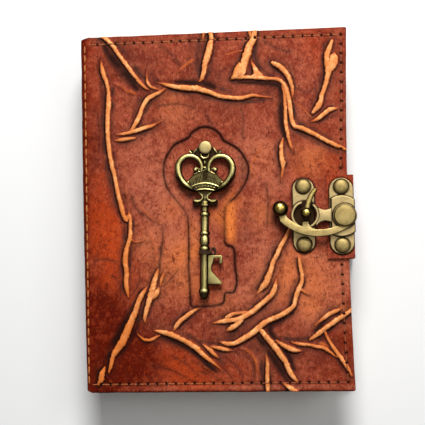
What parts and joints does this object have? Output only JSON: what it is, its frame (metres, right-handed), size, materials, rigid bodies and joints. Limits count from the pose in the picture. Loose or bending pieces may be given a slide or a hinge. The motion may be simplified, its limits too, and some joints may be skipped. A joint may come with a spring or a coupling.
{
  "type": "diary with strap clasp",
  "caption": "Leather-bound diary with wrinkled covers, an ornamental key riveted to the front and a strap with a swing-lever clasp.",
  "frame": {"origin": "middle of the back cover's outer face, which lies on the table", "axes": "+X from the spine to the fore-edge, +Y up the page, +Z out of the front cover"},
  "size_m": [0.1344, 0.178, 0.0389],
  "materials": {
    "book_leather": "waxed red-brown hide with raised wrinkles",
    "strap_leather": "waxed red-brown strap hide",
    "cover_board": "grey-brown binder's board",
    "lining_paper": "kraft lining paper",
    "leaf_paper": "cream handmade paper with deckle edges",
    "linen_thread": "waxed linen thread",
    "tie_cord": "dark waxed cord",
    "antique_bronze": "antiqued bronze plate",
    "bright_brass": "rubbed brass",
    "key_bronze": "antiqued cast bronze with dark recesses",
    "rivet_steel": "plain steel"
  },
  "bodies": {
    "book": {"back_leather": "book_leather", "back_board": "cover_board", "back_lining": "lining_paper", "strap_anchor": "strap_leather", "sewing_thread": "linen_thread", "signature_2": "leaf_paper", "signature_3": "leaf_paper", "signature_4": "leaf_paper", "signature_5": "leaf_paper", "signature_6": "leaf_paper", "signature_7": "leaf_paper", "signature_8": "leaf_paper"},
    "spine_panel": {"spine_leather": "book_leather", "spine_lining": "lining_paper"},
    "front_cover": {"front_leather": "book_leather", "front_board": "cover_board", "front_lining": "lining_paper", "key": "key_bronze", "key_rivet": "antique_bronze", "key_rivet_cap": "rivet_steel", "key_tie": "tie_cord", "catch_plate": "antique_bronze", "catch_post": "bright_brass", "catch_post_cap": "rivet_steel", "catch_rivets": "antique_bronze", "catch_rivet_caps": "rivet_steel"},
    "front_leaves": {"signature_1": "leaf_paper"},
    "strap_side": {"strap_side": "strap_leather"},
    "strap_tab": {"strap_tab": "strap_leather", "hinge_plate": "antique_bronze", "hinge_pin": "rivet_steel", "hinge_rivets": "antique_bronze", "hinge_rivet_caps": "rivet_steel"},
    "eye_flap": {"eye_flap": "antique_bronze", "pivot_rivet": "antique_bronze"},
    "swing_lever": {"swing_lever": "antique_bronze", "lever_ball": "bright_brass"}
  },
  "joints": [
    {"name": "spine_fold", "type": "hinge", "parent": "book", "child": "spine_panel", "pos_m": [-0.0642, 0, 0.0018], "axis": [0, -1, 0], "range_deg": [0, 87]},
    {"name": "cover_fold", "type": "hinge", "parent": "spine_panel", "child": "front_cover", "pos_m": [-0.0642, 0, 0.0264], "axis": [0, -1, 0], "range_deg": [0, 87]},
    {"name": "leaf_fold", "type": "hinge", "parent": "book", "child": "front_leaves", "pos_m": [-0.0619, 0, 0.0231], "axis": [0, -1, 0], "range_deg": [0, 165.3]},
    {"name": "strap_lower_fold", "type": "hinge", "parent": "book", "child": "strap_side", "pos_m": [0.06685, -0.0046, 0.00225], "axis": [0, -1, 0], "range_deg": [-21, 0]},
    {"name": "strap_upper_fold", "type": "hinge", "parent": "strap_side", "child": "strap_tab", "pos_m": [0.06685, -0.0046, 0.02895], "axis": [0, -1, 0], "range_deg": [-70, 0]},
    {"name": "flap_hinge", "type": "hinge", "parent": "strap_tab", "child": "eye_flap", "pos_m": [0.0669, -0.0043, 0.03065], "axis": [0, 1, 0], "range_deg": [0, 80]},
    {"name": "lever_swing", "type": "hinge", "parent": "eye_flap", "child": "swing_lever", "pos_m": [0.0628, -0.0043, 0.03245], "axis": [0, 0, 1], "range_deg": [-6, 60]}
  ],
  "couplings": [
    {"joint": "spine_fold", "follows": "cover_fold", "ratio": 1},
    {"joint": "leaf_fold", "follows": "cover_fold", "ratio": 1.9},
    {"joint": "strap_lower_fold", "follows": "strap_upper_fold", "ratio": 0.3}
  ]
}
